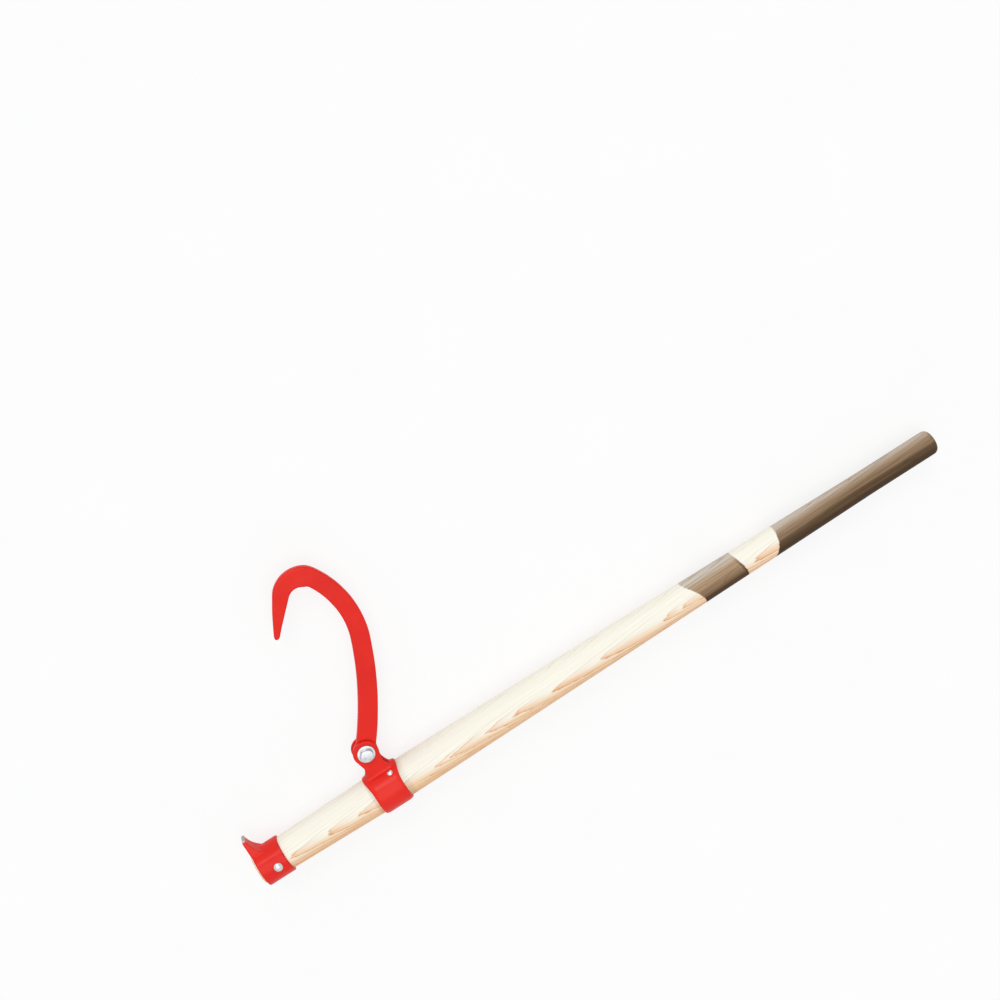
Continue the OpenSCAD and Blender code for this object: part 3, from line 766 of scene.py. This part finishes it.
make_handle()
make_hook()
make_steel("clasp_band", "clasp", shaped=round_rims)
make_steel("toe_ring_lip", "toe_ring", LIP_EDGE)
make_fastener("screws", "clasp_screws", ZINC, "zinc_steel", 0.25 * MM)
make_fastener("rivet", "toe_rivet", ZINC, "zinc_steel", 0.3 * MM)
make_fastener("bolt", "pivot_bolt", ZINC, "zinc_steel", 0.3 * MM, cut_thread)
make_fastener("washers", "pivot_washers", ZINC, "zinc_steel", 0.3 * MM)
make_fastener("nut", "pivot_nut", ZINC, "zinc_steel", 0.3 * MM)
make_fastener("lock_ring", "nut_insert", NYLON, "lock_nylon", 0.2 * MM)


def make_floor():
    """A plain pale floor that the clasp rests on."""
    low = cad_box[0].z
    corners = [(a * FLOOR_REACH, b * FLOOR_REACH, low) for a, b in ((-1, -1), (1, -1), (1, 1), (-1, 1))]
    floor = new_object("floor", mesh_from("floor", corners, [(0, 1, 2, 3)]))
    g = Graph("floor_pale")
    speck = g.noise(g.place, 9.0)
    matt = g.node("ShaderNodeBsdfDiffuse", None, Color=g.ramp(speck, (0.3, srgb("F4F4F3")), (0.7, srgb("F7F7F6"))))
    glow = g.node("ShaderNodeEmission", None, Color=(1, 1, 1, 1), Strength=1.0)
    # To the camera and to reflections it is mostly white, and the rest of it takes the shadows
    path = g.node("ShaderNodeLightPath").outputs
    seen = g.math("MAXIMUM", path["Is Glossy Ray"], path["Is Transmission Ray"])
    seen = g.math("MAXIMUM", path["Is Camera Ray"], seen)
    both = g.node("ShaderNodeMixShader")
    g.feed(both.inputs[0], g.times(seen, FLOOR_WHITE))
    g.feed(both.inputs[1], matt.outputs[0])
    g.feed(both.inputs[2], glow.outputs[0])
    out = g.node("ShaderNodeOutputMaterial")
    g.feed(out.inputs["Surface"], both.outputs[0])
    floor.data.materials.append(g.material)


def make_world():
    """White to the camera and to reflections, a soft fill to everything else."""
    world = bpy.data.worlds.new("studio")
    bpy.context.scene.world = world
    world.use_nodes = True
    tree = world.node_tree
    tree.nodes.clear()
    path = tree.nodes.new("ShaderNodeLightPath")
    fill = tree.nodes.new("ShaderNodeBackground")
    fill.inputs["Color"].default_value = (0.96, 0.98, 1.0, 1)
    fill.inputs["Strength"].default_value = FILL_STRENGTH
    white = tree.nodes.new("ShaderNodeBackground")
    white.inputs["Color"].default_value = (1, 1, 1, 1)
    white.inputs["Strength"].default_value = 1.0
    seen = path.outputs["Is Camera Ray"]
    for name in ("Is Glossy Ray", "Is Transmission Ray"):
        both = tree.nodes.new("ShaderNodeMath")
        both.operation = "MAXIMUM"
        tree.links.new(seen, both.inputs[0])
        tree.links.new(path.outputs[name], both.inputs[1])
        seen = both.outputs[0]
    mixed = tree.nodes.new("ShaderNodeMixShader")
    out = tree.nodes.new("ShaderNodeOutputWorld")
    tree.links.new(seen, mixed.inputs[0])
    tree.links.new(fill.outputs[0], mixed.inputs[1])
    tree.links.new(white.outputs[0], mixed.inputs[2])
    tree.links.new(mixed.outputs[0], out.inputs["Surface"])


def make_lamp(name, energy, softness, colour, towards):
    """A far lamp: its strength, how wide it looks in degrees, its colour and where it stands."""
    light = bpy.data.lights.new(name, "SUN")
    light.energy = energy
    light.angle = math.radians(softness)
    light.color = colour
    lamp = new_object(name, light)
    lamp.rotation_mode = "QUATERNION"
    lamp.rotation_quaternion = Vector(towards).to_track_quat("Z", "Y")


def make_camera():
    """The photograph's view."""
    data = bpy.data.cameras.new("photo_view")
    data.sensor_width = CAMERA_SENSOR
    data.lens = CAMERA_LENS
    camera = new_object("photo_view", data)
    forward = Vector(CAMERA_FORWARD).normalized()
    right = forward.cross(Vector(CAMERA_UP)).normalized()
    up = right.cross(forward)
    aim = Matrix((right, up, -forward)).transposed().to_4x4()
    camera.matrix_world = Matrix.Translation(CAMERA_PLACE) @ aim
    data.clip_start, data.clip_end = 0.05, 50
    bpy.context.scene.camera = camera


make_floor()
make_world()
make_lamp("key", 0.66, 24, (1.0, 0.985, 0.96), (0.0, 0.76, 0.65))
make_lamp("front", 0.86, 50, (1.0, 1.0, 1.0), (-0.06, 0.10, 0.99))
make_camera()
bpy.context.scene.view_settings.view_transform = "Standard"
